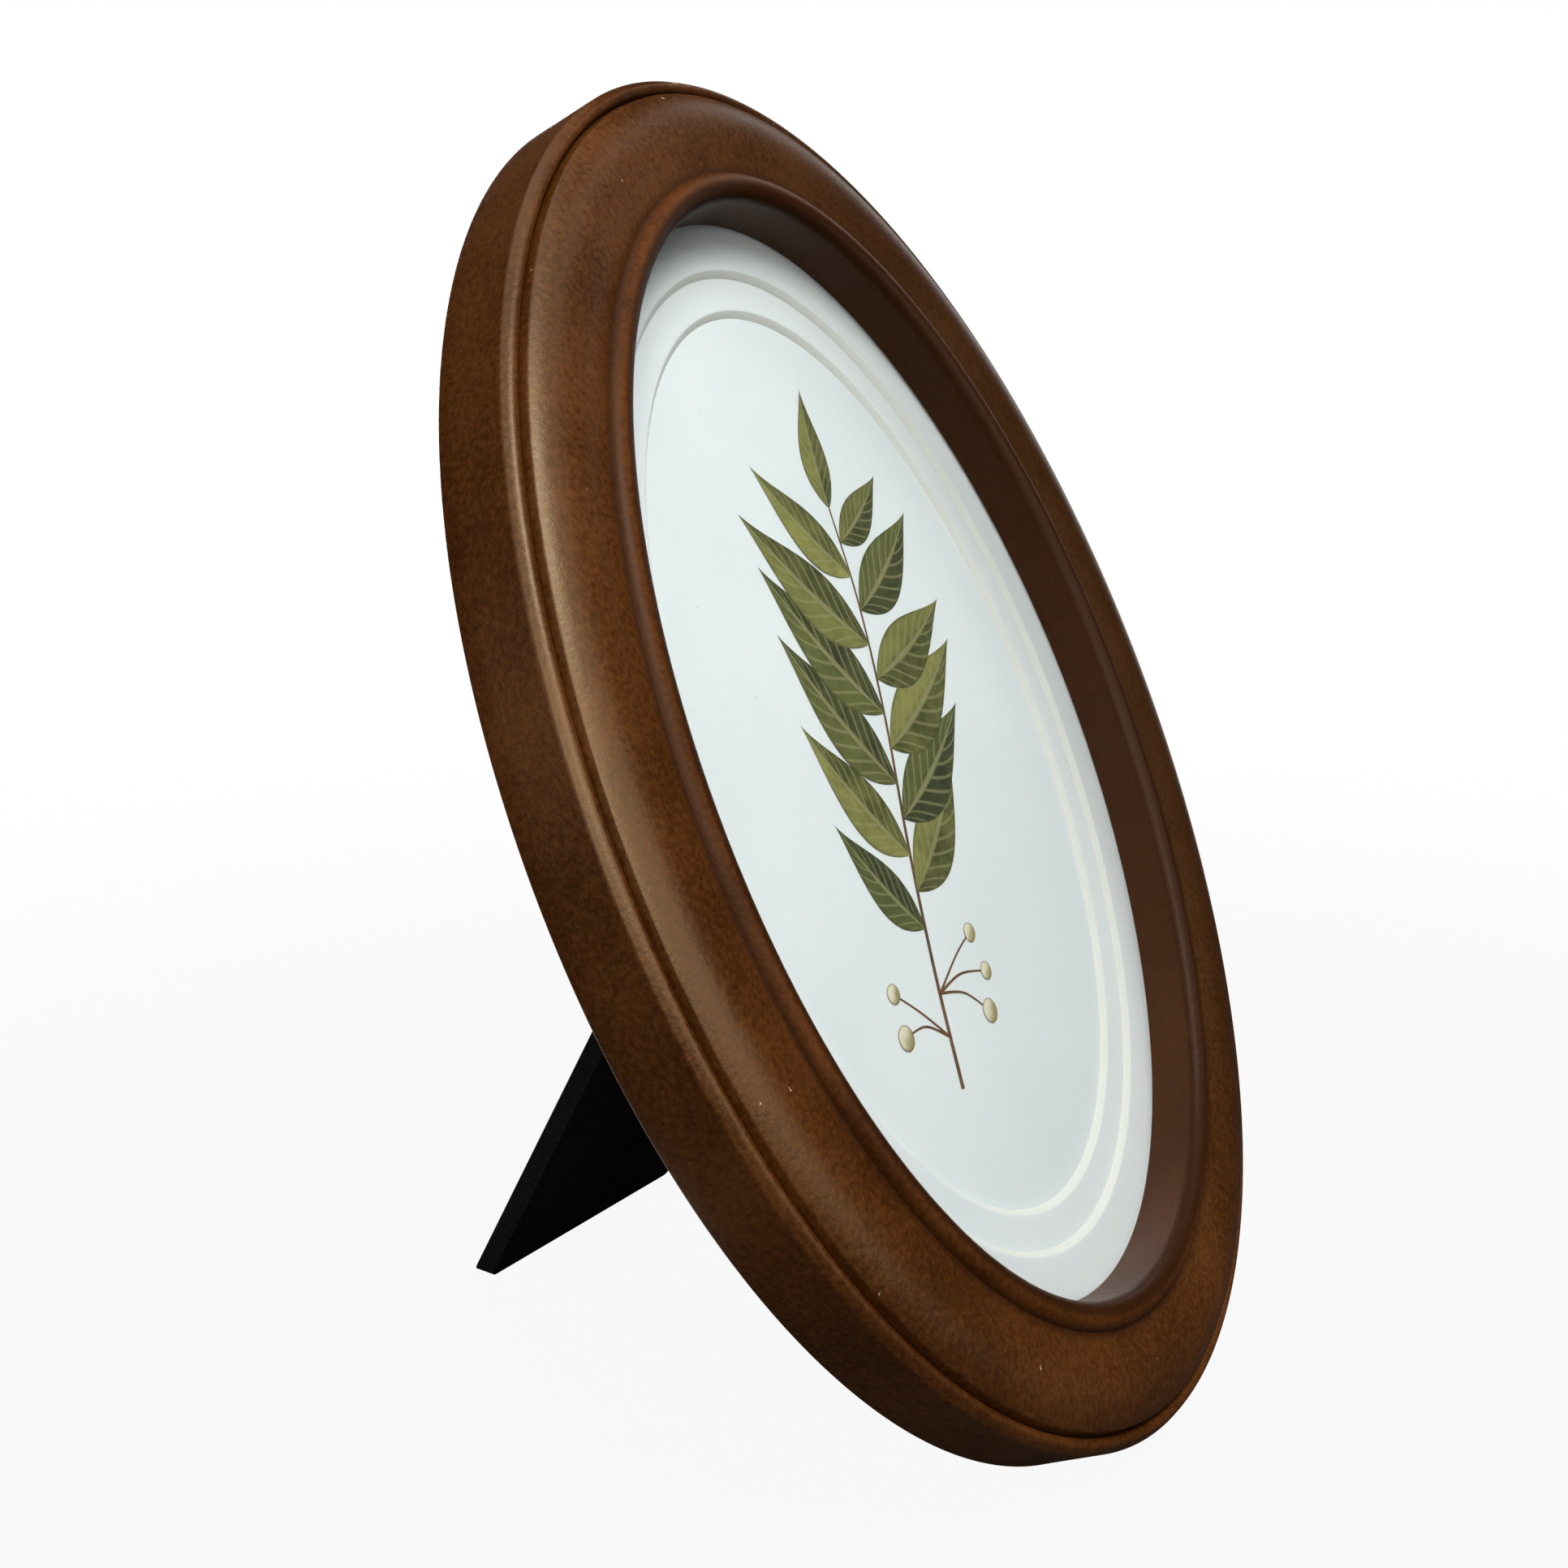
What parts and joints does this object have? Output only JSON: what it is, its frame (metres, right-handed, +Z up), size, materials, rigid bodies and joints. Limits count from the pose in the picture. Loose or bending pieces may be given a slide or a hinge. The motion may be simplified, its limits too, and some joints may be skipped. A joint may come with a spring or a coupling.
{
  "type": "oval picture frame",
  "caption": "Standing oval picture frame with a moulded brown wooden ring, stacked mats behind glass, a back board held by swivel clips and a folding easel strut.",
  "frame": {"origin": "middle of the narrow flat under the moulding, on the table", "axes": "+X to the viewer's right, front faces -Y, +Z up; the frame leans back towards +Y"},
  "size_m": [0.225, 0.1702, 0.277],
  "materials": {
    "brown_wood": "satin brown stain with light wear on the edges",
    "clear_glass": "clear picture glass",
    "mat_board": "matt white mat board, bevelled openings",
    "print_paper": "matt paper with a printed sprig",
    "black_board": "black covered fibreboard",
    "hinge_steel": "plated pressed steel",
    "rivet_steel": "plated steel",
    "button_steel": "plain pressed steel"
  },
  "bodies": {
    "frame": {"frame_moulding": "brown_wood", "glass_pane": "clear_glass", "outer_mat": "mat_board", "inner_mat": "mat_board", "art_print": "print_paper", "back_board": "black_board", "hinge_back_leaf": "hinge_steel", "hinge_pin": "hinge_steel", "back_leaf_rivets": "rivet_steel", "turn_button_screws": "rivet_steel"},
    "strut": {"easel_strut": "black_board", "hinge_strut_leaf": "hinge_steel", "strut_leaf_rivets": "rivet_steel"},
    "button_1": {"turn_button_1": "button_steel"},
    "button_2": {"turn_button_2": "button_steel"},
    "button_3": {"turn_button_3": "button_steel"},
    "button_4": {"turn_button_4": "button_steel"}
  },
  "joints": [
    {"name": "strut_fold", "type": "hinge", "parent": "frame", "child": "strut", "pos_m": [0, 0.0761, 0.15399], "axis": [-1, 0, 0], "range_deg": [0, 51.7]},
    {"name": "turn_button_1_swivel", "type": "hinge", "parent": "frame", "child": "button_1", "pos_m": [0.06299, 0.10944, 0.23176], "axis": [0, 0.9063, -0.4226], "range_deg": [-90, 90]},
    {"name": "turn_button_2_swivel", "type": "hinge", "parent": "frame", "child": "button_2", "pos_m": [-0.06299, 0.10944, 0.23176], "axis": [0, 0.9063, -0.4226], "range_deg": [-90, 90]},
    {"name": "turn_button_3_swivel", "type": "hinge", "parent": "frame", "child": "button_3", "pos_m": [-0.06299, 0.01936, 0.03858], "axis": [0, 0.9063, -0.4226], "range_deg": [-90, 90]},
    {"name": "turn_button_4_swivel", "type": "hinge", "parent": "frame", "child": "button_4", "pos_m": [0.06299, 0.01936, 0.03858], "axis": [0, 0.9063, -0.4226], "range_deg": [-90, 90]}
  ]
}
